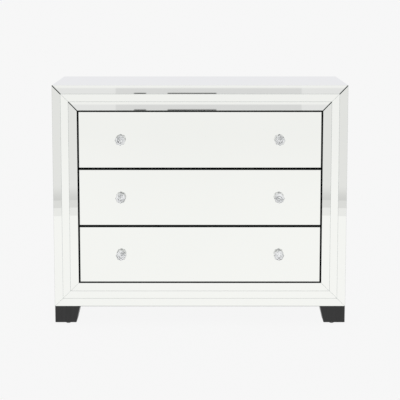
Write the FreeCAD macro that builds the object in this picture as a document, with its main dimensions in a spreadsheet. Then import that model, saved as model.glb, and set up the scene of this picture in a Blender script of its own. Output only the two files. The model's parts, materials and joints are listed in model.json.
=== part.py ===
import FreeCAD, Part
import math
import os

import Sketcher
from FreeCAD import Placement, Rotation, Vector

# A mirror-faced chest of three drawers. Millimetres, +Z up, the front faces -Y, +X is to the right.
# The origin lies on the floor under the middle of the whole outline, knobs included.

# Driving dimensions
SIZES = [
    # the whole chest
    ("overall_width", "1000"),
    ("body_height", "762"),
    ("depth", "450"),
    # sheet materials
    ("mirror_glass", "4"),
    ("side_board", "15"),
    ("top_board", "18"),
    ("bottom_board", "18"),
    ("back_board", "5"),
    ("runner_board", "15"),
    # front frame: three mirror strips stepping forward from the outside to the drawers
    ("outer_bevel_width", "29"),
    ("flat_strip_width", "26"),
    ("inner_bevel_width", "29"),
    ("outer_bevel_rise", "5"),
    ("inner_bevel_rise", "5.18"),
    ("frame_depth", "32"),
    ("strip_seam", "0.3"),
    ("upper_mitre_relief", "0.8"),
    ("lower_mitre_relief", "0.2"),
    ("flat_mitre_relief", "0.15"),
    # feet
    ("foot_height", "57"),
    ("foot_top_width", "86"),
    ("foot_bottom_width", "73"),
    ("foot_inset", "0.5"),
    ("glide_height", "7"),
    ("glide_radius", "9.5"),
    ("glide_tip_radius", "7"),
    ("glide_tip_height", "1.8"),
    ("glide_pin_radius", "2"),
    ("glide_pin_length", "14"),
    ("glide_side_offset", "43"),
    ("glide_front_offset", "27"),
    ("foot_bolt_radius", "4"),
    ("foot_bolt_length", "48"),
    ("foot_bolt_head_radius", "7"),
    ("foot_bolt_head_height", "5"),
    # drawers
    ("stile_gap", "3.5"),
    ("rail_gap", "2.5"),
    ("drawer_gap", "2.6"),
    ("mirror_margin", "2"),
    ("drawer_front_board", "16"),
    ("drawer_side_board", "12"),
    ("drawer_back_board", "12"),
    ("drawer_bottom_board", "5"),
    ("drawer_rear_gap", "45"),
    ("drawer_box_lift", "20"),
    ("drawer_headroom", "34"),
    ("drawer_bottom_lift", "10"),
    ("groove_depth", "6"),
    # runners
    ("runner_height", "36"),
    ("runner_sheet", "1.2"),
    ("runner_space", "13"),
    ("runner_setback", "2"),
    ("runner_front_gap", "1"),
    ("runner_rear_gap", "2"),
    ("slide_front_gap", "11"),
    ("cabinet_tip_gap", "0.8"),
    ("slide_tip_gap", "2.3"),
    ("stop_gap", "0.5"),
    # knobs
    ("knob_offset", "269"),
    ("knob_base_height", "8"),
    ("knob_base_radius", "11"),
    ("knob_base_rim", "1.8"),
    ("knob_neck_radius", "6.5"),
    ("knob_neck_start", "3.5"),
    ("knob_neck_end", "5.5"),
    ("crystal_seat_radius", "9"),
    ("crystal_back_radius", "15.5"),
    ("crystal_back_height", "6"),
    ("crystal_girdle_radius", "18"),
    ("crystal_girdle_height", "12"),
    ("crystal_crown_radius", "14.5"),
    ("crystal_crown_height", "20.5"),
    ("crystal_table_radius", "8"),
    ("crystal_height", "26"),
    ("knob_screw_radius", "2"),
    ("knob_screw_tip_gap", "1.5"),
    ("knob_screw_head_radius", "4"),
    ("knob_screw_head_height", "2.6"),
    # back panel screws
    ("back_screw_radius", "1.75"),
    ("back_screw_length", "28"),
    ("back_screw_head_radius", "3.6"),
    ("back_screw_head_height", "2"),
    ("back_screw_end_margin", "90"),
    # fits
    ("recess_depth", "1"),
    ("recess_arm", "0.8"),
    ("running_clearance", "0.3"),
    ("groove_clearance", "0.1"),
    ("hole_clearance", "0.2"),
    ("back_clearance", "1"),
]
FACETS = 8
CUT_OVERSHOOT = 2
LEVELS = ["lower", "middle", "upper"]
SCREWS_PER_EDGE = 3

doc = FreeCAD.newDocument("mirrored_chest")
sheet = doc.addObject("Spreadsheet::Sheet", "sizes")
for row, (alias, number) in enumerate(SIZES, start=1):
    sheet.set(f"A{row}", alias)
    sheet.set(f"B{row}", number)
    sheet.setAlias(f"B{row}", alias)
doc.recompute()

# Places worked out from the driving dimensions, as expressions
HALF_WIDTH = "(sizes.overall_width / 2)"
KNOB_PROJECTION = "(sizes.knob_base_height + sizes.crystal_height)"
FRONT = f"(({KNOB_PROJECTION} - sizes.depth) / 2)"
REAR = f"({FRONT} + sizes.depth)"
UNDERSIDE = "(sizes.glide_height + sizes.foot_height)"
TOP = f"({UNDERSIDE} + sizes.body_height)"
MIDDLE = f"({UNDERSIDE} + sizes.body_height / 2)"
FRAME_WIDTH = "(sizes.outer_bevel_width + sizes.flat_strip_width + sizes.inner_bevel_width)"
OUTER_RECESS = "(sizes.outer_bevel_rise + sizes.inner_bevel_rise)"
FRAME_BACK = f"({FRONT} + sizes.frame_depth)"
FRAME_EDGE = f"({FRONT} + {OUTER_RECESS})"
SHEET_FRONT = f"({FRAME_EDGE} + sizes.mirror_glass)"
BACK_INNER = f"({REAR} - sizes.back_board)"
SIDE_OUTER = f"({HALF_WIDTH} - sizes.mirror_glass)"
SIDE_INNER = f"({SIDE_OUTER} - sizes.side_board)"
TOP_GLASS = f"({TOP} - sizes.mirror_glass)"
TOP_INNER = f"({TOP_GLASS} - sizes.top_board)"
FLOOR_INNER = f"({UNDERSIDE} + sizes.bottom_board)"
OPENING_HALF = f"({HALF_WIDTH} - {FRAME_WIDTH})"
OPENING_BOTTOM = f"({UNDERSIDE} + {FRAME_WIDTH})"
OPENING_HEIGHT = f"(sizes.body_height - 2 * {FRAME_WIDTH})"
DRAWER_HEIGHT = f"(({OPENING_HEIGHT} - 2 * sizes.rail_gap - 2 * sizes.drawer_gap) / 3)"
DRAWER_HALF = f"({OPENING_HALF} - sizes.stile_gap)"
BOARD_FRONT = f"({FRONT} + sizes.mirror_glass)"
BOX_FRONT = f"({BOARD_FRONT} + sizes.drawer_front_board)"
BOX_REAR = f"({BACK_INNER} - sizes.drawer_rear_gap)"
BOX_HEIGHT = f"({DRAWER_HEIGHT} - sizes.drawer_box_lift - sizes.drawer_headroom)"
RUNNER_WALL = f"({OPENING_HALF} + sizes.runner_setback)"
BOX_OUTER = f"({RUNNER_WALL} - sizes.runner_space)"
BOX_INNER = f"({BOX_OUTER} - sizes.drawer_side_board)"
RUNNER_REAR = f"({BOX_REAR} - sizes.runner_rear_gap)"
RUNNER_LENGTH = f"({RUNNER_REAR} - {FRAME_BACK} - sizes.runner_front_gap)"
SLIDE_REAR = f"({RUNNER_REAR} - sizes.runner_sheet - sizes.stop_gap)"
SLIDE_LENGTH = f"({SLIDE_REAR} - {BOX_FRONT} - sizes.slide_front_gap)"
SCREW_HOLE = "(sizes.knob_screw_radius + sizes.hole_clearance)"
BOLT_HOLE = "(sizes.foot_bolt_radius + sizes.hole_clearance)"

FORWARD = Rotation(Vector(1, 0, 0), 90)
UPWARD = Rotation()
DOWNWARD = Rotation(Vector(1, 0, 0), 180)

nodes = []


def value(expression):
    return float(sheet.evalExpression(expression))


def negative(expression):
    return f"(-1 * {expression})"


def signed(sign, expression):
    return expression if sign > 0 else negative(expression)


def node(item, label):
    """Mark an object as a finished piece of the chest, under the name of its file."""
    item.Label = label
    nodes.append(item)
    return item


def place(item, position, rotation=UPWARD):
    item.Placement = Placement(Vector(*[value(part) for part in position]), rotation)
    for axis, expression in zip("xyz", position):
        item.setExpression(f"Placement.Base.{axis}", expression)
    return item


def box(name, across, along, up):
    """A board between two places on each axis."""
    item = doc.addObject("Part::Box", name)
    for size, (low, high) in zip(("Length", "Width", "Height"), (across, along, up)):
        item.setExpression(size, f"{high} - {low}")
    return place(item, (across[0], along[0], up[0]))


def cylinder(name, radius, length, position, rotation):
    item = doc.addObject("Part::Cylinder", name)
    item.setExpression("Radius", radius)
    item.setExpression("Height", length)
    return place(item, position, rotation)


def group(name, items):
    item = doc.addObject("Part::Compound", name)
    item.Links = items
    return item


def cut(name, blank, tools):
    item = doc.addObject("Part::Cut", name)
    item.Base = blank
    item.Tool = group(f"{name}_tools", tools)
    return item


def origin_feature(body, role):
    return next(item for item in body.Origin.OriginFeatures if item.Role == role)


def outline(body, name, role, loops):
    """A sketch of closed outlines whose corners are held at expressions."""
    sketch = body.newObject("Sketcher::SketchObject", name)
    sketch.AttachmentSupport = [(origin_feature(body, role), "")]
    sketch.MapMode = "FlatFace"
    first = 0
    for corners in loops:
        points = [Vector(value(across), value(up), 0) for across, up in corners]
        count = len(points)
        for index in range(count):
            sketch.addGeometry(Part.LineSegment(points[index], points[(index + 1) % count]), False)
        for index, (across, up) in enumerate(corners):
            line = first + index
            following = first + (index + 1) % count
            sketch.addConstraint(Sketcher.Constraint("Coincident", line, 2, following, 1))
            for kind, number, expression in (
                ("DistanceX", points[index].x, across),
                ("DistanceY", points[index].y, up),
            ):
                constraint = sketch.addConstraint(Sketcher.Constraint(kind, line, 1, number))
                sketch.setExpression(f"Constraints[{constraint}]", expression)
        first += count
    return sketch


def pad(body, name, sketch, length, side="One side"):
    feature = body.newObject("PartDesign::Pad", name)
    feature.Profile = sketch
    feature.SideType = side
    feature.setExpression("Length", length)
    return feature


def turned(name, profile, position, rotation):
    """A round piece: (radius, height) corners turned about its own axis."""
    body = doc.addObject("PartDesign::Body", name)
    revolution = body.newObject("PartDesign::Revolution", f"{name}_turning")
    revolution.Profile = outline(body, f"{name}_profile", "XZ_Plane", [profile])
    revolution.ReferenceAxis = (origin_feature(body, "Z_Axis"), [""])
    revolution.Angle = 360
    body.Tip = revolution
    return place(body, position, rotation)


def cross_recess(body, head_radius):
    """Cut a driver recess into the end of a screw head that lies at height 0."""
    reach = f"({head_radius} / 2)"
    arm = "(sizes.recess_arm / 2)"
    corners = []
    for quarter in range(4):
        across = 1 if quarter in (0, 3) else -1
        up = 1 if quarter in (0, 1) else -1
        points = [
            (signed(across, reach), signed(up, arm)),
            (signed(across, arm), signed(up, arm)),
            (signed(across, arm), signed(up, reach)),
        ]
        corners += points if quarter % 2 == 0 else points[::-1]
    pocket = body.newObject("PartDesign::Pocket", f"{body.Name}_recess")
    pocket.Profile = outline(body, f"{body.Name}_cross", "XY_Plane", [corners])
    pocket.Reversed = True
    pocket.setExpression("Length", "sizes.recess_depth")
    body.Tip = pocket
    return body


# Carcass boards
def screw_places():
    """Each back panel screw as its board and its (across, up) place."""
    side_centre = f"({SIDE_OUTER} - sizes.side_board / 2)"
    across_start = f"({SIDE_INNER} - sizes.back_screw_end_margin)"
    up_low = f"({FLOOR_INNER} + sizes.back_screw_end_margin)"
    up_high = f"({TOP_INNER} - sizes.back_screw_end_margin)"
    top_centre = f"({TOP_GLASS} - sizes.top_board / 2)"
    bottom_centre = f"({UNDERSIDE} + sizes.bottom_board / 2)"
    places = []
    for index in range(SCREWS_PER_EDGE):
        share = index / (SCREWS_PER_EDGE - 1)
        up = f"({up_low} + {share} * ({up_high} - {up_low}))"
        across = f"({across_start} * {2 * share - 1})"
        places.append(("left_side_panel", negative(side_centre), up))
        places.append(("right_side_panel", side_centre, up))
        places.append(("top_panel", across, top_centre))
        places.append(("bottom_panel", across, bottom_centre))
    return places


def pilot_holes(board):
    """The holes that the back panel screws run into, from the rear edge of one board."""
    radius = "(sizes.back_screw_radius + sizes.hole_clearance)"
    length = "(sizes.back_screw_length - sizes.back_board + sizes.hole_clearance)"
    holes = []
    for owner, across, up in screw_places():
        if owner == board:
            name = f"{board}_pilot_{len(holes)}"
            holes.append(cylinder(name, radius, length, (across, BACK_INNER, up), FORWARD))
    return holes


def foot_corners():
    """Each foot's name, the directions to the middle of the chest, and its outer corner."""
    for depth_name, inward, face in (("front", 1, FRAME_EDGE), ("rear", -1, REAR)):
        along = f"({face} + {inward} * sizes.foot_inset)"
        for side_name, toward in (("left", 1), ("right", -1)):
            across = signed(-toward, f"({HALF_WIDTH} - sizes.foot_inset)")
            yield f"{depth_name}_{side_name}", toward, inward, across, along


def foot_axis(toward, inward, across, along):
    centre = "(sizes.foot_top_width / 2)"
    return f"({across} + {toward} * {centre})", f"({along} + {inward} * {centre})"


def make_carcass():
    lengthwise = (FRAME_BACK, BACK_INNER)
    for side, name in ((-1, "left"), (1, "right")):
        faces = (SIDE_INNER, SIDE_OUTER) if side > 0 else (negative(SIDE_OUTER), negative(SIDE_INNER))
        board = f"{name}_side_panel"
        blank = box(f"{board}_blank", faces, lengthwise, (UNDERSIDE, TOP_INNER))
        node(cut(board, blank, pilot_holes(board)), board)

        wall_outer = f"({RUNNER_WALL} + sizes.runner_board)"
        walls = (RUNNER_WALL, wall_outer) if side > 0 else (negative(wall_outer), negative(RUNNER_WALL))
        wall = f"{name}_runner_panel"
        node(box(wall, walls, lengthwise, (FLOOR_INNER, TOP_INNER)), wall)

    full = (negative(SIDE_OUTER), SIDE_OUTER)
    blank = box("top_panel_blank", full, lengthwise, (TOP_INNER, TOP_GLASS))
    node(cut("top_panel", blank, pilot_holes("top_panel")), "top_panel")

    inside = (negative(SIDE_INNER), SIDE_INNER)
    blank = box("bottom_panel_blank", inside, lengthwise, (UNDERSIDE, FLOOR_INNER))
    holes = pilot_holes("bottom_panel")
    for name, toward, inward, across, along in foot_corners():
        x, y = foot_axis(toward, inward, across, along)
        position = (x, y, f"({UNDERSIDE} - {CUT_OVERSHOOT})")
        length = f"(sizes.bottom_board + {2 * CUT_OVERSHOOT})"
        holes.append(cylinder(f"{name}_bolt_hole", BOLT_HOLE, length, position, UPWARD))
    node(cut("bottom_panel", blank, holes), "bottom_panel")


def make_back():
    """The back panel, screwed on the rear edges of the boards, with its countersunk screws."""
    edge = f"({SIDE_OUTER} - sizes.back_clearance)"
    up = (f"({UNDERSIDE} + sizes.back_clearance)", f"({TOP_GLASS} - sizes.back_clearance)")
    blank = box("back_panel_blank", (negative(edge), edge), (BACK_INNER, REAR), up)
    radius = "sizes.back_screw_radius"
    head = "sizes.back_screw_head_radius"
    head_end = "sizes.back_screw_head_height"
    profile = [("0", "0"), (head, "0"), (radius, head_end), (radius, "sizes.back_screw_length"),
               ("0", "sizes.back_screw_length")]
    gap = "sizes.hole_clearance"
    seat = [("0", "0"), (f"({head} + {gap})", "0"), (f"({radius} + {gap})", head_end),
            (f"({radius} + {gap})", f"(sizes.back_board + {CUT_OVERSHOOT})"),
            ("0", f"(sizes.back_board + {CUT_OVERSHOOT})")]
    screws = []
    seats = []
    for index, (_, across, height) in enumerate(screw_places()):
        position = (across, REAR, height)
        seats.append(turned(f"back_screw_seat_{index}", seat, position, FORWARD))
        screw = turned(f"back_screw_{index}", profile, position, FORWARD)
        screws.append(cross_recess(screw, head))
    node(cut("back_panel", blank, seats), "back_panel")
    node(group("back_panel_screws", screws), "back_panel_screws")


def make_sheet_mirrors():
    lengthwise = (SHEET_FRONT, REAR)
    upright = (UNDERSIDE, TOP_GLASS)
    left = (negative(HALF_WIDTH), negative(SIDE_OUTER))
    node(box("left_side_mirror", left, lengthwise, upright), "left_side_mirror")
    node(box("right_side_mirror", (SIDE_OUTER, HALF_WIDTH), lengthwise, upright), "right_side_mirror")
    full = (negative(HALF_WIDTH), HALF_WIDTH)
    node(box("top_mirror", full, lengthwise, (TOP_GLASS, TOP)), "top_mirror")


# Front frame. A member is drawn flat: length along X, width inwards along Y, thickness forward along Z.
FLAT_START = "sizes.outer_bevel_width"
FLAT_END = "(sizes.outer_bevel_width + sizes.flat_strip_width)"
EDGE_LEVEL = f"(sizes.frame_depth - {OUTER_RECESS} - sizes.mirror_glass)"
FLAT_LEVEL = "(sizes.frame_depth - sizes.inner_bevel_rise - sizes.mirror_glass)"
LIP_LEVEL = "(sizes.frame_depth - sizes.mirror_glass)"
HALF_SEAM = "(sizes.strip_seam / 2)"
OUTER_SLOPE = "(sizes.outer_bevel_rise / sizes.outer_bevel_width)"
INNER_SLOPE = "(sizes.inner_bevel_rise / sizes.inner_bevel_width)"

# each side of the frame: direction of its length, of its width, its length, its place,
# and which corners its low and high ends meet
FRAME_SIDES = {
    "top": (Vector(-1, 0, 0), Vector(0, 0, -1), "sizes.overall_width", ("0", FRAME_BACK, TOP),
            ("upper", "upper")),
    "bottom": (Vector(1, 0, 0), Vector(0, 0, 1), "sizes.overall_width", ("0", FRAME_BACK, UNDERSIDE),
               ("lower", "lower")),
    "left": (Vector(0, 0, -1), Vector(1, 0, 0), "sizes.body_height",
             (negative(HALF_WIDTH), FRAME_BACK, MIDDLE), ("upper", "lower")),
    "right": (Vector(0, 0, 1), Vector(-1, 0, 0), "sizes.body_height",
              (HALF_WIDTH, FRAME_BACK, MIDDLE), ("lower", "upper")),
}


def mitred_member(name, side, profile, reliefs, end_inset="0"):
    """A straight piece with the given (width, thickness) section, mitred at both ends."""
    length_axis, width_axis, length, position, _ = FRAME_SIDES[side]
    body = doc.addObject("PartDesign::Body", name)
    section = outline(body, f"{name}_section", "YZ_Plane", [profile])
    pad(body, f"{name}_length", section, f"({length} - 2 * {end_inset})", "Symmetric")
    loops = []
    for end, relief in zip((-1, 1), reliefs):
        tip = f"({length} / 2 - {relief} + {CUT_OVERSHOOT})"
        toe = f"({length} / 2 - {relief} - {FRAME_WIDTH} - {CUT_OVERSHOOT})"
        beyond = f"({length} / 2 + {2 * CUT_OVERSHOOT})"
        low = f"(-{CUT_OVERSHOOT})"
        high = f"({FRAME_WIDTH} + {CUT_OVERSHOOT})"
        loops.append([
            (signed(end, tip), low),
            (signed(end, beyond), low),
            (signed(end, beyond), high),
            (signed(end, toe), high),
        ])
    mitre = body.newObject("PartDesign::Pocket", f"{name}_mitre")
    mitre.Profile = outline(body, f"{name}_mitre_lines", "XY_Plane", loops)
    mitre.Type = "ThroughAll"
    mitre.SideType = "Symmetric"
    body.Tip = mitre
    rotation = Rotation(length_axis, width_axis, length_axis.cross(width_axis), "XYZ")
    return place(body, position, rotation)


def strip_section(start, start_level, end, end_level):
    """A strip of glass lying on the core between two places across the member."""
    return [
        (start, start_level),
        (end, end_level),
        (end, f"({end_level} + sizes.mirror_glass)"),
        (start, f"({start_level} + sizes.mirror_glass)"),
    ]


def strip_sections():
    before_flat = f"({FLAT_START} - {HALF_SEAM})"
    after_outer = f"({FLAT_START} + {HALF_SEAM})"
    before_inner = f"({FLAT_END} - {HALF_SEAM})"
    after_flat = f"({FLAT_END} + {HALF_SEAM})"
    outer_end = f"({EDGE_LEVEL} + {OUTER_SLOPE} * {before_flat})"
    inner_start = f"({FLAT_LEVEL} + {INNER_SLOPE} * {HALF_SEAM})"
    return {
        "outer_bevel": strip_section("0", EDGE_LEVEL, before_flat, outer_end),
        "flat": strip_section(after_outer, FLAT_LEVEL, before_inner, FLAT_LEVEL),
        "inner_bevel": strip_section(after_flat, inner_start, FRAME_WIDTH, LIP_LEVEL),
    }


def core_section(edge):
    """The board under the strips, starting at the given distance from the outer edge."""
    return [
        (edge, "0"),
        (FRAME_WIDTH, "0"),
        (FRAME_WIDTH, LIP_LEVEL),
        (FLAT_END, FLAT_LEVEL),
        (FLAT_START, FLAT_LEVEL),
        (edge, f"({EDGE_LEVEL} + {OUTER_SLOPE} * {edge})"),
    ]


def make_frame():
    cores = {"top": "top_rail", "bottom": "bottom_rail", "left": "left_stile", "right": "right_stile"}
    for side, label in cores.items():
        # the sheet mirrors lie over the outer edges of the cores, except under the chest
        edge = "0" if side == "bottom" else "sizes.mirror_glass"
        node(mitred_member(label, side, core_section(edge), ("0", "0"), "sizes.mirror_glass"), label)
    for strip, section in strip_sections().items():
        for member, sides in (("rail", ("top", "bottom")), ("stile", ("left", "right"))):
            pieces = []
            for side in sides:
                if strip == "flat":
                    reliefs = ["sizes.flat_mitre_relief"] * 2
                else:
                    reliefs = [f"sizes.{corner}_mitre_relief" for corner in FRAME_SIDES[side][-1]]
                pieces.append(mitred_member(f"{side}_{strip}_strip", side, section, reliefs))
            label = f"{strip}_{member}_mirrors"
            node(group(label, pieces), label)


# Feet
def foot_square(toward, inward, width):
    return [
        ("0", "0"),
        (signed(toward, width), "0"),
        (signed(toward, width), signed(inward, width)),
        ("0", signed(inward, width)),
    ]


def make_foot(name, toward, inward, across, along):
    """A block that tapers on its two inner faces, drilled for its bolt and its glide."""
    label = f"{name}_foot"
    body = doc.addObject("PartDesign::Body", f"{label}_blank")
    taper = body.newObject("PartDesign::AdditiveLoft", f"{label}_taper")
    bottom = foot_square(toward, inward, "sizes.foot_bottom_width")
    taper.Profile = outline(body, f"{label}_bottom", "XY_Plane", [bottom])
    top = foot_square(toward, inward, "sizes.foot_top_width")
    top_outline = outline(body, f"{label}_top", "XY_Plane", [top])
    top_outline.setExpression("AttachmentOffset.Base.z", "sizes.foot_height")
    taper.Sections = [top_outline]
    taper.Ruled = True
    body.Tip = taper
    place(body, (across, along, "sizes.glide_height"))

    x, y = foot_axis(toward, inward, across, along)
    depth = "(sizes.foot_bolt_length - sizes.bottom_board + sizes.hole_clearance)"
    bolt = cylinder(f"{label}_bolt_bore", BOLT_HOLE, depth, (x, y, UNDERSIDE), DOWNWARD)
    pin_radius = "(sizes.glide_pin_radius + sizes.hole_clearance)"
    pin_length = "(sizes.glide_pin_length + sizes.hole_clearance)"
    pin_place = (*glide_axis(toward, inward, across, along), "sizes.glide_height")
    pin = cylinder(f"{label}_pin_bore", pin_radius, pin_length, pin_place, UPWARD)
    node(cut(label, body, [bolt, pin]), label)


def glide_axis(toward, inward, across, along):
    x = f"({across} + {toward} * sizes.glide_side_offset)"
    y = f"({along} + {inward} * sizes.glide_front_offset)"
    return x, y


def make_feet():
    pin_end = "(sizes.glide_height + sizes.glide_pin_length)"
    glide = [
        ("0", "0"),
        ("sizes.glide_tip_radius", "0"),
        ("sizes.glide_radius", "sizes.glide_tip_height"),
        ("sizes.glide_radius", "sizes.glide_height"),
        ("sizes.glide_pin_radius", "sizes.glide_height"),
        ("sizes.glide_pin_radius", pin_end),
        ("0", pin_end),
    ]
    bolt_end = "(sizes.foot_bolt_head_height + sizes.foot_bolt_length)"
    bolt = [
        ("0", "0"),
        ("sizes.foot_bolt_head_radius", "0"),
        ("sizes.foot_bolt_head_radius", "sizes.foot_bolt_head_height"),
        ("sizes.foot_bolt_radius", "sizes.foot_bolt_head_height"),
        ("sizes.foot_bolt_radius", bolt_end),
        ("0", bolt_end),
    ]
    bolt_top = f"({FLOOR_INNER} + sizes.foot_bolt_head_height)"
    glides = []
    bolts = []
    for name, toward, inward, across, along in foot_corners():
        make_foot(name, toward, inward, across, along)
        glide_place = (*glide_axis(toward, inward, across, along), "0")
        glides.append(turned(f"{name}_glide", glide, glide_place, UPWARD))
        bolt_place = (*foot_axis(toward, inward, across, along), bolt_top)
        screw = turned(f"{name}_bolt", bolt, bolt_place, DOWNWARD)
        bolts.append(cross_recess(screw, "sizes.foot_bolt_head_radius"))
    node(group("foot_glides", glides), "foot_glides")
    node(group("foot_bolts", bolts), "foot_bolts")


# Runners
def channel_section(direction, reach, low, high):
    """A C section whose web lies at 0 and whose flanges reach in the given direction."""
    sheet_metal = "sizes.runner_sheet"
    inner_low = f"({low} + {sheet_metal})"
    inner_high = f"({high} - {sheet_metal})"
    corners = [
        ("0", low),
        (reach, low),
        (reach, inner_low),
        (sheet_metal, inner_low),
        (sheet_metal, inner_high),
        (reach, inner_high),
        (reach, high),
        ("0", high),
    ]
    return [(signed(direction, across), up) for across, up in corners]


def runner_bottom(level):
    return f"({box_bottom(level)} + ({BOX_HEIGHT} - sizes.runner_height) / 2)"


def cabinet_runner(side, level):
    """The fixed channel, with a stop turned in at its rear end."""
    reach = "(sizes.runner_space - sizes.runner_sheet - sizes.cabinet_tip_gap)"
    name = f"{LEVELS[level]}_{'right' if side > 0 else 'left'}_runner"
    body = doc.addObject("PartDesign::Body", name)
    section = channel_section(-side, reach, "0", "sizes.runner_height")
    pad(body, f"{name}_length", outline(body, f"{name}_section", "XZ_Plane", [section]), RUNNER_LENGTH)
    far = signed(-side, reach)
    stop = [("0", "0"), (far, "0"), (far, "sizes.runner_height"), ("0", "sizes.runner_height")]
    body.Tip = pad(body, f"{name}_stop", outline(body, f"{name}_stop_face", "XZ_Plane", [stop]),
                   "sizes.runner_sheet")
    return place(body, (signed(side, RUNNER_WALL), RUNNER_REAR, runner_bottom(level)))


def drawer_slide(side, level):
    """The channel on the drawer side, running inside the fixed one."""
    reach = "(sizes.runner_space - sizes.runner_sheet - sizes.slide_tip_gap)"
    low = "(sizes.runner_sheet + sizes.running_clearance)"
    high = f"(sizes.runner_height - {low})"
    name = f"{LEVELS[level]}_{'right' if side > 0 else 'left'}_slide"
    body = doc.addObject("PartDesign::Body", name)
    section = channel_section(side, reach, low, high)
    body.Tip = pad(body, f"{name}_length", outline(body, f"{name}_section", "XZ_Plane", [section]),
                   SLIDE_LENGTH)
    return place(body, (signed(side, BOX_OUTER), SLIDE_REAR, runner_bottom(level)))


def make_cabinet_runners():
    for side, name in ((-1, "left"), (1, "right")):
        runners = [cabinet_runner(side, level) for level in range(len(LEVELS))]
        node(group(f"{name}_runners", runners), f"{name}_runners")


# Drawers
def drawer_bottom(level):
    return f"({OPENING_BOTTOM} + sizes.rail_gap + {level} * ({DRAWER_HEIGHT} + sizes.drawer_gap))"


def box_bottom(level):
    return f"({drawer_bottom(level)} + sizes.drawer_box_lift)"


def make_drawer_front(level, prefix):
    """The front board and its mirror, drilled for the knob screws."""
    low = drawer_bottom(level)
    high = f"({low} + {DRAWER_HEIGHT})"
    middle = f"({low} + {DRAWER_HEIGHT} / 2)"
    holes = []
    for side in (-1, 1):
        position = (signed(side, "sizes.knob_offset"), f"({BOX_FRONT} + {CUT_OVERSHOOT})", middle)
        length = f"(sizes.mirror_glass + sizes.drawer_front_board + {2 * CUT_OVERSHOOT})"
        holes.append(cylinder(f"{prefix}_screw_hole_{side + 1}", SCREW_HOLE, length, position, FORWARD))

    blank = box(f"{prefix}_front_blank", (negative(DRAWER_HALF), DRAWER_HALF), (BOARD_FRONT, BOX_FRONT),
                (low, high))
    groove = bottom_groove(level, f"{prefix}_front_groove")
    node(cut(f"{prefix}_drawer_front", blank, [*holes, groove]), f"{prefix}_drawer_front")

    half = f"({DRAWER_HALF} - sizes.mirror_margin)"
    upright = (f"({low} + sizes.mirror_margin)", f"({high} - sizes.mirror_margin)")
    glass = box(f"{prefix}_mirror_blank", (negative(half), half), (FRONT, BOARD_FRONT), upright)
    node(cut(f"{prefix}_drawer_mirror", glass, holes), f"{prefix}_drawer_mirror")


def bottom_levels(level):
    low = f"({box_bottom(level)} + sizes.drawer_bottom_lift)"
    return low, f"({low} + sizes.drawer_bottom_board)"


def bottom_groove(level, name):
    """The space that the drawer bottom needs in the front and the sides, with its clearance."""
    low, high = bottom_levels(level)
    half = f"({BOX_INNER} + sizes.groove_depth)"
    return box(name, (negative(half), half),
               (f"({BOX_FRONT} - sizes.groove_depth)", f"({BOX_REAR} + {CUT_OVERSHOOT})"),
               (f"({low} - sizes.groove_clearance)", f"({high} + sizes.groove_clearance)"))


def make_drawer_box(level, prefix):
    low = box_bottom(level)
    high = f"({low} + {BOX_HEIGHT})"
    lengthwise = (BOX_FRONT, BOX_REAR)
    for side, name in ((-1, "left"), (1, "right")):
        faces = (BOX_INNER, BOX_OUTER) if side > 0 else (negative(BOX_OUTER), negative(BOX_INNER))
        label = f"{prefix}_drawer_{name}_side"
        blank = box(f"{label}_blank", faces, lengthwise, (low, high))
        node(cut(label, blank, [bottom_groove(level, f"{label}_groove")]), label)

    floor_low, floor_high = bottom_levels(level)
    rear = (f"({BOX_REAR} - sizes.drawer_back_board)", BOX_REAR)
    label = f"{prefix}_drawer_back"
    node(box(label, (negative(BOX_INNER), BOX_INNER), rear, (floor_high, high)), label)

    half = f"({BOX_INNER} + sizes.groove_depth - sizes.groove_clearance)"
    start = f"({BOX_FRONT} - sizes.groove_depth + sizes.groove_clearance)"
    label = f"{prefix}_drawer_bottom"
    node(box(label, (negative(half), half), (start, BOX_REAR), (floor_low, floor_high)), label)

    slides = [drawer_slide(side, level) for side in (-1, 1)]
    node(group(f"{prefix}_drawer_slides", slides), f"{prefix}_drawer_slides")


# Knobs
def facet_ring(radius, height, turned_half):
    step = 2 * math.pi / FACETS
    angles = [step * (index + (0.5 if turned_half else 0)) for index in range(FACETS)]
    return [Vector(radius * math.cos(angle), radius * math.sin(angle), height) for angle in angles]


def crystal_shape():
    """A cut crystal: rings of corners, each turned half a step, joined by flat triangles."""
    rings = []
    for index, (radius, height) in enumerate((
        ("crystal_seat_radius", "0"),
        ("crystal_back_radius", "crystal_back_height"),
        ("crystal_girdle_radius", "crystal_girdle_height"),
        ("crystal_crown_radius", "crystal_crown_height"),
        ("crystal_table_radius", "crystal_height"),
    )):
        rings.append(facet_ring(value(radius), value(height), index % 2 == 1))
    facets = [rings[0], rings[-1]]
    for index, (lower, upper) in enumerate(zip(rings, rings[1:])):
        shift = 1 - index % 2
        for corner in range(FACETS):
            following = (corner + 1) % FACETS
            facets.append([lower[corner], lower[following], upper[(corner + 1 - shift) % FACETS]])
            facets.append([upper[corner], upper[following], lower[(corner + shift) % FACETS]])
    faces = [Part.Face(Part.makePolygon([*corners, corners[0]])) for corners in facets]
    solid = Part.Solid(Part.Shell(faces))
    if solid.Volume < 0:
        solid.reverse()
    return solid


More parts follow.
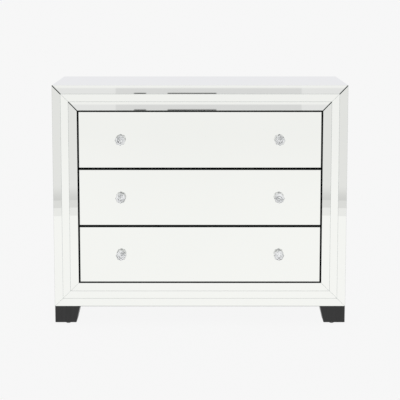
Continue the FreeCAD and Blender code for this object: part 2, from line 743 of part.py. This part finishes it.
def make_knobs(level, prefix):
    middle = f"({drawer_bottom(level)} + {DRAWER_HEIGHT} / 2)"
    base = [
        (SCREW_HOLE, "0"),
        ("sizes.knob_base_radius", "0"),
        ("sizes.knob_base_radius", "sizes.knob_base_rim"),
        ("sizes.knob_neck_radius", "sizes.knob_neck_start"),
        ("sizes.knob_neck_radius", "sizes.knob_neck_end"),
        ("sizes.crystal_seat_radius", "sizes.knob_base_height"),
        (SCREW_HOLE, "sizes.knob_base_height"),
    ]
    head = "sizes.knob_screw_head_height"
    grip = "(sizes.knob_base_height - sizes.knob_screw_tip_gap)"
    screw_end = f"({head} + sizes.drawer_front_board + sizes.mirror_glass + {grip})"
    screw = [
        ("0", "0"),
        ("sizes.knob_screw_head_radius", "0"),
        ("sizes.knob_screw_head_radius", head),
        ("sizes.knob_screw_radius", head),
        ("sizes.knob_screw_radius", screw_end),
        ("0", screw_end),
    ]
    bases = []
    crystals = []
    screws = []
    for side, name in ((-1, "left"), (1, "right")):
        across = signed(side, "sizes.knob_offset")
        bases.append(turned(f"{prefix}_{name}_knob_base", base, (across, FRONT, middle), FORWARD))
        crystal = doc.addObject("Part::Feature", f"{prefix}_{name}_crystal")
        crystal.Shape = crystal_shape()
        crystals.append(place(crystal, (across, f"({FRONT} - sizes.knob_base_height)", middle), FORWARD))
        head_end = f"({BOX_FRONT} + {head})"
        body = turned(f"{prefix}_{name}_knob_screw", screw, (across, head_end, middle), FORWARD)
        screws.append(cross_recess(body, "sizes.knob_screw_head_radius"))
    node(group(f"{prefix}_knob_bases", bases), f"{prefix}_knob_bases")
    node(group(f"{prefix}_knob_crystals", crystals), f"{prefix}_knob_crystals")
    node(group(f"{prefix}_knob_screws", screws), f"{prefix}_knob_screws")


def write_parts():
    doc.recompute()
    faults = [item.Name for item in doc.Objects if {"Invalid", "Error"} & set(item.State)]
    faults += [item.Label for item in nodes if item.Shape.isNull() or not item.Shape.isValid()]
    faults += [item.Label for item in nodes if not item.Shape.Solids]
    if faults:
        raise RuntimeError(f"these pieces are not sound: {faults}")
    os.makedirs("parts", exist_ok=True)
    for item in nodes:
        item.Shape.exportStep(f"parts/{item.Label}.step")
    print(f"{len(nodes)} pieces written")


make_carcass()
make_back()
make_sheet_mirrors()
make_frame()
make_feet()
make_cabinet_runners()
for level, prefix in enumerate(LEVELS):
    make_drawer_front(level, prefix)
    make_drawer_box(level, prefix)
    make_knobs(level, prefix)
write_parts()
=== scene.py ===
"""The looks of a mirrored chest of drawers: mirror glass, cut crystal knobs, black boards and feet."""

import json
import math

import bmesh
import bpy
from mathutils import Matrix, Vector

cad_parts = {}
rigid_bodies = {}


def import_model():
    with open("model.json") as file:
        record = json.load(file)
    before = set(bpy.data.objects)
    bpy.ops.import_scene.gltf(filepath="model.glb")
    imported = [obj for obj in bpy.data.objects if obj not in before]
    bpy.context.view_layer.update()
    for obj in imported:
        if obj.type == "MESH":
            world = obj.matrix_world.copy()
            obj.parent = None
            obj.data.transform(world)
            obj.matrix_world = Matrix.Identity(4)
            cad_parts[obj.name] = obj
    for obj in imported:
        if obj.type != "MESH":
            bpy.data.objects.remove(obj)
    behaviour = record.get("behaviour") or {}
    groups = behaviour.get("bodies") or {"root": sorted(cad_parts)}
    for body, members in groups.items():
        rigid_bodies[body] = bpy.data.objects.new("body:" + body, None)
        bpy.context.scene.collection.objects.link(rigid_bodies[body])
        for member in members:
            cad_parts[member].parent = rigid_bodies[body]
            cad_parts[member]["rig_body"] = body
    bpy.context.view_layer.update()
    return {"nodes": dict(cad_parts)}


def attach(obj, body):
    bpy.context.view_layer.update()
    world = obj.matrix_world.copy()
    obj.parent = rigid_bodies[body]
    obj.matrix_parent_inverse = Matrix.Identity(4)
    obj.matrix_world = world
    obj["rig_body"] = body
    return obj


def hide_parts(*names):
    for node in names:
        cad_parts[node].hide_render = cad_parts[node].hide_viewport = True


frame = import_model()
nodes = frame["nodes"]
scene = bpy.context.scene
scene.view_settings.view_transform = "Standard"

LEVELS = ("lower", "middle", "upper")
MILLIMETRE = 0.001

# Widths of the ground edges on the glass, and of the eased edges on wood; the mitre, drawer, side and bottom
# arrises are drawn dark, as painted shade
ARRIS = 0.3 * MILLIMETRE
SHADED_MITRE_ARRIS = 1.2 * MILLIMETRE
SHADED_DRAWER_ARRIS = 1.1 * MILLIMETRE
TOP_ARRIS = 0.12 * MILLIMETRE
SHADED_SIDE_ARRIS = 0.35 * MILLIMETRE
SHADED_BOTTOM_ARRIS = 0.75 * MILLIMETRE
FOOT_EDGE = 1.6 * MILLIMETRE
BOARD_EDGE = 0.8 * MILLIMETRE
SEAT_GAP = 0.06 * MILLIMETRE

# How faces and edges are told apart
WELD_DISTANCE = 0.002 * MILLIMETRE
FLAT_ANGLE = math.radians(1.0)
SHARP_ANGLE = math.radians(30.0)
FACING = 0.85
SLANT = 0.3
FOIL_TURN = 0.3
MIDDLE_HEIGHT = 0.445
FRAME_REACH = 0.499
FRAME_HEIGHTS = (0.066, 0.820)

# Camera
CAMERA_PLACE = Vector((0.0, -4.8, 1.170))
CAMERA_TILT = math.radians(8.07)
CAMERA_LENS = 123.0
CAMERA_SHIFT = -0.06
SENSOR_WIDTH = 36.0
FARTHEST_SEEN = 2000.0

# Floor: white paper that dims a little over a stretch in front of the chest
PAPER_WHITE = (0.931, 0.931, 0.931)
PAPER_GLOW = (0.910, 0.910, 0.910)
PAPER_FAR_GLOW = (0.875, 0.875, 0.875)
PAPER_COLOUR = (0.025, 0.025, 0.025)
PAPER_DIMMING = (-1.2, -7.0)
FLOOR_REACH = 300.0

# Studio walls and ceiling
WALL_SHADE = (0.78, 0.78, 0.79)
DOOR_SHADE = (0.69, 0.69, 0.70)
BAR_SHADE = (0.05, 0.05, 0.05)
SIDE_SHADE = (0.74, 0.74, 0.75)
BACK_SHADE = (0.825, 0.825, 0.852)
BAND_SHADE = (0.89, 0.89, 0.89)
CEILING_SHADE = (0.80, 0.80, 0.81)
ZENITH_SHADE = (0.50, 0.50, 0.51)
# Where one part of the room passes into the next, by how far a direction points backwards or upwards
FRONT_TO_SIDE = (-0.75, -0.55)
SIDE_TO_BACK = (0.4, 0.75)
WALLS_TO_CEILING = (0.50, 0.62)
CEILING_TO_ZENITH = (0.86, 0.92)
# Heights and places on the walls are slopes: the distance up or sideways for each metre ahead
WALL_TOP = 0.2713
BAR_HEIGHTS = (0.2636, 0.2674)
DOOR = (-0.0638, 0.0769)
NARROW_BAR = (-0.0499, -0.0407)
WIDE_BAR = (-0.0245, 0.0124)
LEAST_DEPTH = 0.5
CRISP = 0.0007

# Grey flats on the floor: on each side a slanting one in front of the chest and a long one beside it
SLANTING_FLAT = ((1.167, -2.879), (3.117, -1.929))
LONG_FLAT = ((1.70, -1.5), (1.95, 4.0))
FLAT_HEIGHT = 1.6
FLAT_GREY = (0.775, 0.775, 0.775)
# Each flat is darker towards its foot: painted shade where it meets the floor
FLAT_FOOT_SHADE = (0.64, 0.64, 0.64)
FLAT_FOOT_SHADE_HEIGHT = 0.09
# Strips on the floor before each flat, paler away from it: painted shade cast by the flat
SHADE_STRIP_WIDTH = 0.25
SHADE_STRIP_GREYS = ((0.72, 0.72, 0.72), (0.83, 0.83, 0.83))
SHADE_STRIP_LIFT = 0.002


# Node helpers

def new_material(name):
    """A material with a bare Principled shader, and that shader."""
    material = bpy.data.materials.new(name)
    material.use_nodes = True
    return material, material.node_tree.nodes["Principled BSDF"]


def add(tree, kind, **values):
    """A new node with some of its plain settings filled in."""
    made = tree.nodes.new(kind)
    for key, value in values.items():
        setattr(made, key, value)
    return made


def coordinates(tree, stretch):
    """Places on the piece in metres, stretched along each axis."""
    place = add(tree, "ShaderNodeTexCoord")
    mapping = add(tree, "ShaderNodeMapping")
    mapping.inputs["Scale"].default_value = stretch
    tree.links.new(place.outputs["Object"], mapping.inputs["Vector"])
    return mapping.outputs["Vector"]


def noise(tree, scale, detail=4.0, stretch=(1.0, 1.0, 1.0), distortion=0.0):
    """Cloudy values between 0 and 1."""
    texture = add(tree, "ShaderNodeTexNoise")
    texture.inputs["Scale"].default_value = scale
    texture.inputs["Detail"].default_value = detail
    texture.inputs["Distortion"].default_value = distortion
    tree.links.new(coordinates(tree, stretch), texture.inputs["Vector"])
    return texture.outputs["Fac"]


def spread(tree, source, low, high, start=0.3, end=0.7):
    """A value turned into the range from low to high."""
    ranged = add(tree, "ShaderNodeMapRange")
    ranged.inputs["From Min"].default_value = start
    ranged.inputs["From Max"].default_value = end
    ranged.inputs["To Min"].default_value = low
    ranged.inputs["To Max"].default_value = high
    tree.links.new(source, ranged.inputs["Value"])
    return ranged.outputs["Result"]


def shades(tree, source, dark, light, start=0.3, end=0.7):
    """A value turned into colours from dark to light."""
    ramp = add(tree, "ShaderNodeValToRGB")
    first, last = ramp.color_ramp.elements
    first.position, last.position = start, end
    first.color, last.color = (*dark, 1.0), (*light, 1.0)
    tree.links.new(source, ramp.inputs["Fac"])
    return ramp.outputs["Color"]


def coloured(tree, shader, source, dark, light, start=0.3, end=0.7):
    """Colours the surface from dark to light by a value."""
    tree.links.new(shades(tree, source, dark, light, start, end), shader.inputs["Base Color"])


def roughened(tree, shader, source, low, high):
    """Varies the roughness from low to high by a value."""
    tree.links.new(spread(tree, source, low, high), shader.inputs["Roughness"])


def bumped(tree, shader, height, strength, depth):
    """Raises and lowers the surface a little by a value."""
    bump = add(tree, "ShaderNodeBump")
    bump.inputs["Strength"].default_value = strength
    bump.inputs["Distance"].default_value = depth
    tree.links.new(height, bump.inputs["Height"])
    tree.links.new(bump.outputs["Normal"], shader.inputs["Normal"])


# Materials

GLASS_IOR = 1.52
CRYSTAL_IOR = 1.54


def mirror_material():
    """Silvered glass: a bright mirror with faint cloudiness and wiping marks in its polish."""
    material, shader = new_material("silvered_mirror")
    tree = material.node_tree
    clouds = noise(tree, scale=2.3, detail=3.0)
    coloured(tree, shader, clouds, dark=(0.966, 0.976, 0.944), light=(0.980, 0.988, 0.956))
    wipes = noise(tree, scale=9.0, detail=5.0, stretch=(1.0, 1.0, 5.0))
    roughened(tree, shader, wipes, low=0.003, high=0.011)
    shader.inputs["Metallic"].default_value = 1.0
    return material


def glass_edge_material(name, dark, light, metallic):
    """The ground and polished edge of a sheet: grey-green, with fine grinding marks."""
    material, shader = new_material(name)
    tree = material.node_tree
    marks = noise(tree, scale=420.0, detail=3.0)
    coloured(tree, shader, marks, dark, light)
    roughened(tree, shader, marks, low=0.10, high=0.24)
    shader.inputs["Metallic"].default_value = metallic
    shader.inputs["IOR"].default_value = GLASS_IOR
    return material


def backing_material():
    """The grey paint on the back of a mirror."""
    material, shader = new_material("mirror_backing_paint")
    tree = material.node_tree
    coats = noise(tree, scale=30.0, detail=5.0)
    coloured(tree, shader, coats, dark=(0.10, 0.11, 0.12), light=(0.15, 0.16, 0.17))
    roughened(tree, shader, coats, low=0.5, high=0.7)
    return material


def board_material(name, dark, light, grain, roughness, relief=0.0, gloss=0.5):
    """A painted or stained board whose grain runs along the axis that isn't stretched.

    Without relief it is smooth.
    """
    material, shader = new_material(name)
    tree = material.node_tree
    shader.inputs["Specular IOR Level"].default_value = gloss
    fibres = noise(tree, scale=14.0, detail=8.0, stretch=grain, distortion=0.6)
    coloured(tree, shader, fibres, dark, light)
    roughened(tree, shader, fibres, *roughness)
    if relief:
        pores = noise(tree, scale=34.0, detail=6.0, stretch=grain, distortion=0.3)
        bumped(tree, shader, pores, strength=relief, depth=0.3 * MILLIMETRE)
    return material


def steel_material():
    """Zinc-plated steel with fine rolling lines along its length and clouded plating."""
    material, shader = new_material("zinc_plated_steel")
    tree = material.node_tree
    clouds = noise(tree, scale=60.0, detail=6.0)
    coloured(tree, shader, clouds, dark=(0.52, 0.53, 0.56), light=(0.70, 0.71, 0.72))
    lines = noise(tree, scale=80.0, detail=3.0, stretch=(6.0, 0.15, 6.0))
    roughened(tree, shader, lines, low=0.22, high=0.42)
    bumped(tree, shader, lines, strength=0.12, depth=0.1 * MILLIMETRE)
    shader.inputs["Metallic"].default_value = 1.0
    return material


def chrome_material():
    """Polished chrome with faint hairlines."""
    material, shader = new_material("polished_chrome")
    tree = material.node_tree
    hairlines = noise(tree, scale=260.0, detail=3.0, stretch=(1.0, 0.2, 1.0))
    coloured(tree, shader, hairlines, dark=(0.74, 0.75, 0.77), light=(0.83, 0.84, 0.85))
    roughened(tree, shader, hairlines, low=0.05, high=0.12)
    shader.inputs["Metallic"].default_value = 1.0
    return material


def crystal_material():
    """Clear cut crystal, polished, with the slightest clouding."""
    material, shader = new_material("cut_crystal")
    tree = material.node_tree
    clouds = noise(tree, scale=120.0, detail=2.0)
    coloured(tree, shader, clouds, dark=(0.965, 0.975, 0.98), light=(0.99, 0.995, 1.0))
    roughened(tree, shader, clouds, low=0.0, high=0.012)
    shader.inputs["Transmission Weight"].default_value = 1.0
    shader.inputs["IOR"].default_value = CRYSTAL_IOR
    return material


def foil_material():
    """The silver foil behind a cut crystal, mottled: partly its own mottling, partly painted reflection of
    what the facets show.
    """
    material, shader = new_material("crystal_foil_with_painted_reflections")
    tree = material.node_tree
    # Dark and bright patches: partly painted reflection, standing in for the facets' dark and bright
    # reflections
    mottle = noise(tree, scale=170.0, detail=2.0)
    coloured(tree, shader, mottle, dark=(0.40, 0.41, 0.41), light=(0.96, 0.965, 0.965), start=0.38, end=0.53)
    roughened(tree, shader, mottle, low=0.03, high=0.09)
    shader.inputs["Metallic"].default_value = 1.0
    return material


def plastic_material():
    """Moulded black plastic with a fine eggshell texture."""
    material, shader = new_material("moulded_plastic")
    tree = material.node_tree
    grains = noise(tree, scale=900.0, detail=3.0)
    coloured(tree, shader, grains, dark=(0.018, 0.018, 0.019), light=(0.032, 0.032, 0.033))
    roughened(tree, shader, grains, low=0.42, high=0.6)
    bumped(tree, shader, grains, strength=0.3, depth=0.1 * MILLIMETRE)
    return material


STAINED_BLACK = {"dark": (0.032, 0.030, 0.028), "light": (0.082, 0.077, 0.072), "roughness": (0.42, 0.6),
                 "relief": 0.35}
MIRROR = mirror_material()
# Bright polished glass for the arrises, and a painted highlight on the edges that face up at the top
ARRIS_AND_HIGHLIGHT_GLASS = glass_edge_material("polished_glass_arris_and_painted_highlight", dark=(0.80, 0.85, 0.83), light=(0.90, 0.93, 0.92),
                                  metallic=0.85)
# Dark glass for the sheets' own edges, and for the dark arrises, where it is painted shade
EDGE_AND_SHADE_GLASS = glass_edge_material("dark_glass_edge_and_painted_shade", dark=(0.020, 0.034, 0.030), light=(0.045, 0.065, 0.058),
                                 metallic=0.0)
BACKING = backing_material()
# Black paint darkened beyond the boards' own black: painted shade for the gaps where these boards show
BOARD = board_material("black_painted_board", dark=(0.003, 0.003, 0.003), light=(0.008, 0.008, 0.008),
                       grain=(1.0, 1.0, 1.0), roughness=(0.6, 0.75), gloss=0.12)
INNER_BOARD = board_material("black_painted_board_inside", dark=(0.029, 0.028, 0.027),
                             light=(0.058, 0.056, 0.053), grain=(0.5, 8.0, 8.0), roughness=(0.45, 0.6),
                             relief=0.3)
DRAWER_SIDES = board_material("black_stained_board_front_to_back", grain=(16.0, 0.5, 16.0), **STAINED_BLACK)
DRAWER_BACKS = board_material("black_stained_board_across", grain=(0.5, 16.0, 16.0), **STAINED_BLACK)
HARDBOARD = board_material("black_faced_hardboard", dark=(0.020, 0.018, 0.017), light=(0.042, 0.038, 0.035),
                           grain=(3.0, 3.0, 3.0), roughness=(0.6, 0.78), relief=0.4)
FOOT = board_material("satin_black_lacquer", dark=(0.010, 0.010, 0.010), light=(0.017, 0.017, 0.017),
                      grain=(9.0, 9.0, 0.6), roughness=(0.34, 0.44), relief=0.10, gloss=0.45)
STEEL = steel_material()
CHROME = chrome_material()
CRYSTAL = crystal_material()
FOIL = foil_material()
PLASTIC = plastic_material()


# Pieces

def whole_faces(name):
    """A copy of a node's shape with the triangles of each flat face joined up again."""
    shape = bmesh.new()
    shape.from_mesh(nodes[name].data)
    bmesh.ops.remove_doubles(shape, verts=shape.verts, dist=WELD_DISTANCE)
    bmesh.ops.dissolve_limit(shape, angle_limit=FLAT_ANGLE, verts=shape.verts, edges=shape.edges)
    for face in shape.faces:
        face.smooth = False
    return shape


def finish_piece(shape, name, node, materials):
    """Makes the shape an object that stands for its node and rides on its body."""
    mesh = bpy.data.meshes.new(name)
    shape.to_mesh(mesh)
    shape.free()
    piece = bpy.data.objects.new(name, mesh)
    scene.collection.objects.link(piece)
    for material in materials:
        mesh.materials.append(material)
    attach(piece, nodes[node]["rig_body"])
    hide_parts(node)


def edges_between(shape, first, second):
    """The edges where a face of one material meets a face of another."""
    return [line for line in shape.edges
            if sorted({face.material_index for face in line.link_faces}) == sorted((first, second))]


def is_upper_mitre(line):
    """Whether an edge is one of the slanting mitres above the middle of the chest."""
    along = line.verts[1].co - line.verts[0].co
    slanting = min(abs(along.x), abs(along.z)) > SLANT * along.length
    return slanting and line.verts[0].co.z > MIDDLE_HEIGHT


def is_at_top(part):
    """Whether an edge or face lies along the top of the chest."""
    return all(corner.co.z > FRAME_HEIGHTS[1] for corner in part.verts)


def is_at_side(line):
    """Whether an edge runs down one of the outer sides of the front frame."""
    return all(abs(corner.co.x) > FRAME_REACH for corner in line.verts)


def is_at_bottom(line):
    """Whether an edge runs along the bottom of the front frame."""
    return all(corner.co.z < FRAME_HEIGHTS[0] for corner in line.verts)


def is_inside(line):
    """Whether an edge is neither an upper mitre nor along the outside of the front frame."""
    return not any(place(line) for place in (is_upper_mitre, is_at_top, is_at_side, is_at_bottom))


def is_no_mitre(line):
    """Whether an edge is anything but an upper mitre."""
    return not is_upper_mitre(line)


def is_any(line):
    """Takes every edge."""
    return True


def mirror_glass(node, outward, *rims):
    """A sheet of mirror: a silvered face, arrises as its rims say, dark edges and a painted back.

    A rim is a choice of edges, the width of their arris, and whether it is bright or dark; a dark arris is
    painted shade.
    An edge that faces up at the top of the chest is as bright as a bright arris: a painted highlight.
    """
    silver, arris, edge, paint = range(4)
    shape = whole_faces(node)
    for face in shape.faces:
        turn = face.normal.dot(outward)
        face.material_index = silver if turn > FACING else paint if turn < -FACING else edge
    for chosen, width, bright in rims:
        lines = [line for line in edges_between(shape, silver, edge) if chosen(line)]
        bmesh.ops.bevel(shape, geom=lines, offset=width, segments=1, affect="EDGES",
                        material=arris if bright else edge)
    # Painted highlight: upward edges at the top of the chest take the bright arris glass
    for face in shape.faces:
        if face.material_index == edge and face.normal.z > FACING and is_at_top(face):
            face.material_index = arris
    bmesh.ops.dissolve_degenerate(shape, dist=WELD_DISTANCE, edges=shape.edges)
    finish_piece(shape, node + "_glass", node, (MIRROR, ARRIS_AND_HIGHLIGHT_GLASS, EDGE_AND_SHADE_GLASS, BACKING))


def eased_board(node, material, edge):
    """A board or block with its sharp edges taken off."""
    shape = whole_faces(node)
    sharp = [line for line in shape.edges if line.is_manifold and line.calc_face_angle() > SHARP_ANGLE]
    bmesh.ops.bevel(shape, geom=sharp, offset=edge, segments=2, profile=0.5, affect="EDGES")
    finish_piece(shape, node + "_eased", node, (material,))


def painted_front(level):
    """A drawer's front board: dull black round the edges, which show in the gaps, darkened there as painted
    shade, and satin black inside.
    """
    outside, inside = 0, 1
    node = f"{level}_drawer_front"
    shape = whole_faces(node)
    for face in shape.faces:
        face.material_index = inside if face.normal.y > FACING else outside
    finish_piece(shape, node + "_painted", node, (BOARD, INNER_BOARD))


def cut_crystals(level):
    """The crystals of a drawer's knobs: clear facets in front, foiled ones behind."""
    clear, foiled = 0, 1
    node = f"{level}_knob_crystals"
    shape = whole_faces(node)
    seat = max(corner.co.y for corner in shape.verts)
    for corner in shape.verts:
        if corner.co.y > seat - WELD_DISTANCE:
            corner.co.y -= SEAT_GAP
    for face in shape.faces:
        face.material_index = foiled if face.normal.y > FOIL_TURN else clear
    finish_piece(shape, node + "_cut", node, (CRYSTAL, FOIL))


def dress(material, *names):
    """Gives nodes that stay as they are their material."""
    for name in names:
        mesh = nodes[name].data
        mesh.materials.clear()
        mesh.materials.append(material)


def make_mirrors():
    """The strips of the front frame, and the drawers', top and side mirrors."""
    towards_front = Vector((0.0, -1.0, 0.0))
    plain = (is_any, ARRIS, True)
    # The dark arrises at the upper mitres, the frame's outer sides and bottom and round the drawers are
    # painted shade that widens the dark lines there
    shaded_mitres = (is_upper_mitre, SHADED_MITRE_ARRIS, False)
    for run in ("rail", "stile"):
        mirror_glass(f"outer_bevel_{run}_mirrors", towards_front, (is_inside, ARRIS, True),
                     (is_at_top, TOP_ARRIS, True), (is_at_side, SHADED_SIDE_ARRIS, False),
                     (is_at_bottom, SHADED_BOTTOM_ARRIS, False), shaded_mitres)
        mirror_glass(f"flat_{run}_mirrors", towards_front, plain)
        mirror_glass(f"inner_bevel_{run}_mirrors", towards_front, (is_no_mitre, ARRIS, True), shaded_mitres)
    for level in LEVELS:
        mirror_glass(f"{level}_drawer_mirror", towards_front, (is_any, SHADED_DRAWER_ARRIS, False))
    mirror_glass("top_mirror", Vector((0.0, 0.0, 1.0)), (is_any, TOP_ARRIS, True))
    mirror_glass("left_side_mirror", Vector((-1.0, 0.0, 0.0)), plain)
    mirror_glass("right_side_mirror", Vector((1.0, 0.0, 0.0)), plain)


def make_carcass():
    """The boards, feet and fittings that stay still."""
    dress(BOARD, "left_side_panel", "right_side_panel", "left_runner_panel", "right_runner_panel",
          "top_panel", "bottom_panel", "top_rail", "bottom_rail", "left_stile", "right_stile")
    dress(HARDBOARD, "back_panel")
    dress(STEEL, "back_panel_screws", "foot_bolts", "left_runners", "right_runners")
    dress(PLASTIC, "foot_glides")
    for corner in ("front_left", "front_right", "rear_left", "rear_right"):
        eased_board(f"{corner}_foot", FOOT, FOOT_EDGE)


def make_drawer(level):
    """One drawer's boards, slides and knobs."""
    dress(STEEL, f"{level}_drawer_slides", f"{level}_knob_screws")
    dress(CHROME, f"{level}_knob_bases")
    dress(DRAWER_BACKS, f"{level}_drawer_bottom")
    painted_front(level)
    cut_crystals(level)
    for side in ("left", "right"):
        eased_board(f"{level}_drawer_{side}_side", DRAWER_SIDES, BOARD_EDGE)
    eased_board(f"{level}_drawer_back", DRAWER_BACKS, BOARD_EDGE)


# Studio

def step(tree, source, low, high):
    """A smooth step from 0 at low to 1 at high, or down where high is the lower one."""
    ranged = add(tree, "ShaderNodeMapRange", interpolation_type="SMOOTHSTEP")
    falling = high < low
    ranged.inputs["From Min"].default_value = min(low, high)
    ranged.inputs["From Max"].default_value = max(low, high)
    ranged.inputs["To Min"].default_value = 1.0 if falling else 0.0
    ranged.inputs["To Max"].default_value = 0.0 if falling else 1.0
    tree.links.new(source, ranged.inputs["Value"])
    return ranged.outputs["Result"]


def blend_colours(tree, share, first, second):
    """first where share is 0, second where it is 1; each is a colour or another node's output."""
    mix = add(tree, "ShaderNodeMix", data_type="RGBA")
    tree.links.new(share, mix.inputs["Factor"])
    for value, name in ((first, "A_Color"), (second, "B_Color")):
        socket = next(s for s in mix.inputs if s.identifier == name)
        if isinstance(value, bpy.types.NodeSocket):
            tree.links.new(value, socket)
        else:
            socket.default_value = (*value, 1.0)
    return next(s for s in mix.outputs if s.identifier == "Result_Color")


def calculated(tree, operation, first, second):
    """Two values put together, each a number or another node's output."""
    made = add(tree, "ShaderNodeMath", operation=operation)
    for value, socket in ((first, made.inputs[0]), (second, made.inputs[1])):
        if isinstance(value, bpy.types.NodeSocket):
            tree.links.new(value, socket)
        else:
            socket.default_value = value
    return made.outputs["Value"]


def between(tree, source, low, high, soft):
    """1 where a value lies between low and high, falling to 0 over a soft edge."""
    return calculated(tree, "MULTIPLY", step(tree, source, low - soft, low + soft),
                      step(tree, source, high + soft, high - soft))


def make_world():
    """A soft studio: pale walls, a door and two dark bars in front, a bright band above, a dim ceiling."""
    world = bpy.data.worlds.new("studio")
    scene.world = world
    world.use_nodes = True
    tree = world.node_tree
    background = tree.nodes["Background"]
    direction = add(tree, "ShaderNodeTexCoord")
    parts = add(tree, "ShaderNodeSeparateXYZ")
    tree.links.new(direction.outputs["Generated"], parts.inputs["Vector"])
    across, ahead, up = parts.outputs["X"], parts.outputs["Y"], parts.outputs["Z"]
    depth = calculated(tree, "MAXIMUM", calculated(tree, "ABSOLUTE", ahead, 0.0), LEAST_DEPTH)
    rise = calculated(tree, "DIVIDE", up, depth)
    aside = calculated(tree, "DIVIDE", across, depth)

    front_wall = blend_colours(tree, between(tree, aside, *DOOR, CRISP), WALL_SHADE, DOOR_SHADE)
    both_bars = calculated(tree, "ADD", between(tree, aside, *NARROW_BAR, CRISP),
                           between(tree, aside, *WIDE_BAR, CRISP))
    bars = calculated(tree, "MULTIPLY", both_bars, between(tree, rise, *BAR_HEIGHTS, CRISP))
    front = blend_colours(tree, bars, front_wall, BAR_SHADE)
    sides = blend_colours(tree, step(tree, ahead, *FRONT_TO_SIDE), front, SIDE_SHADE)
    walls = blend_colours(tree, step(tree, ahead, *SIDE_TO_BACK), sides, BACK_SHADE)
    above_walls = step(tree, rise, WALL_TOP - CRISP, WALL_TOP + CRISP)
    lit_walls = blend_colours(tree, above_walls, walls, BAND_SHADE)
    ceiling = blend_colours(tree, step(tree, up, *WALLS_TO_CEILING), lit_walls, CEILING_SHADE)
    room = blend_colours(tree, step(tree, up, *CEILING_TO_ZENITH), ceiling, ZENITH_SHADE)
    sight = add(tree, "ShaderNodeLightPath")
    seen = blend_colours(tree, sight.outputs["Is Camera Ray"], room, PAPER_WHITE)
    tree.links.new(seen, background.inputs["Color"])


def plane(name, corners, material):
    """A flat stage piece with the given corners."""
    mesh = bpy.data.meshes.new(name)
    mesh.from_pydata(corners, [], [range(len(corners))])
    mesh.materials.append(material)
    made = bpy.data.objects.new(name, mesh)
    scene.collection.objects.link(made)
    return made


def stage_material(name):
    """A material with no shader yet, its nodes, and the place on the surface as X, Y and Z."""
    material = bpy.data.materials.new(name)
    material.use_nodes = True
    tree = material.node_tree
    tree.nodes.clear()
    place = add(tree, "ShaderNodeTexCoord")
    parts = add(tree, "ShaderNodeSeparateXYZ")
    tree.links.new(place.outputs["Object"], parts.inputs["Vector"])
    return material, tree, parts.outputs


def glowing(tree, colour):
    """An even light of its own in a colour."""
    glow = add(tree, "ShaderNodeEmission")
    tree.links.new(colour, glow.inputs["Color"])
    return glow.outputs["Emission"]


def on_surface(tree, shading):
    """Puts the finished shading on the surface."""
    output = add(tree, "ShaderNodeOutputMaterial")
    tree.links.new(shading, output.inputs["Surface"])


def floor_material():
    """White paper, evenly lit, a little dimmer well in front of the chest."""
    material, tree, place = stage_material("white_paper")
    light = blend_colours(tree, step(tree, place["Y"], *PAPER_DIMMING), PAPER_GLOW, PAPER_FAR_GLOW)
    paper = add(tree, "ShaderNodeBsdfDiffuse")
    paper.inputs["Color"].default_value = (*PAPER_COLOUR, 1.0)
    both = add(tree, "ShaderNodeAddShader")
    tree.links.new(glowing(tree, light), both.inputs[0])
    tree.links.new(paper.outputs["BSDF"], both.inputs[1])
    on_surface(tree, both.outputs["Shader"])
    return material


def grey_material(name, low, high):
    """An evenly lit grey sheet, from low at its foot to high above; the darker foot is painted shade."""
    material, tree, place = stage_material(name)
    shade = blend_colours(tree, step(tree, place["Z"], 0.0, FLAT_FOOT_SHADE_HEIGHT), low, high)
    on_surface(tree, glowing(tree, shade))
    return material


def reflected_only(sheet):
    """Leaves a sheet to be seen in the mirrors alone."""
    sheet.visible_camera = False
    sheet.visible_diffuse = False
    sheet.visible_shadow = False


def make_flat(name, side, ends):
    """A grey flat on one side of the chest, with paler and paler strips on the floor before it: painted
    shade cast by the flat.
    """
    near, far = [Vector((side * across, along, 0.0)) for across, along in ends]
    up = Vector((0.0, 0.0, 1.0))
    along = (far - near).normalized()
    towards_chest = up.cross(along) * side
    top = up * FLAT_HEIGHT
    reflected_only(plane(name, [near, far, far + top, near + top],
                         grey_material(name + "_grey", FLAT_FOOT_SHADE, FLAT_GREY)))
    for index, grey in enumerate(SHADE_STRIP_GREYS):
        inner = towards_chest * SHADE_STRIP_WIDTH * index + up * SHADE_STRIP_LIFT
        outer = towards_chest * SHADE_STRIP_WIDTH * (index + 1) + up * SHADE_STRIP_LIFT
        corners = [near + inner, far + inner, far + outer, near + outer]
        reflected_only(plane(f"{name}_skirt_{index + 1}", corners,
                             grey_material(f"{name}_skirt_grey_{index + 1}", grey, grey)))


def make_studio():
    """The room, the floor and the flats on both sides."""
    make_world()
    reach = FLOOR_REACH
    corners = [(-reach, -reach, 0.0), (reach, -reach, 0.0), (reach, reach, 0.0), (-reach, reach, 0.0)]
    plane("floor", corners, floor_material())
    for side, name in ((-1.0, "left"), (1.0, "right")):
        make_flat(f"{name}_slanting_flat", side, SLANTING_FLAT)
        make_flat(f"{name}_long_flat", side, LONG_FLAT)


def make_camera():
    """The camera, in front of the chest and looking a little down on it."""
    lens = bpy.data.cameras.new("camera")
    lens.lens = CAMERA_LENS
    lens.sensor_width = SENSOR_WIDTH
    lens.shift_y = CAMERA_SHIFT
    lens.clip_end = FARTHEST_SEEN
    camera = bpy.data.objects.new("camera", lens)
    camera.location = CAMERA_PLACE
    camera.rotation_euler = (math.pi / 2 - CAMERA_TILT, 0.0, 0.0)
    scene.collection.objects.link(camera)
    scene.camera = camera


make_mirrors()
make_carcass()
for level in LEVELS:
    make_drawer(level)
make_studio()
make_camera()
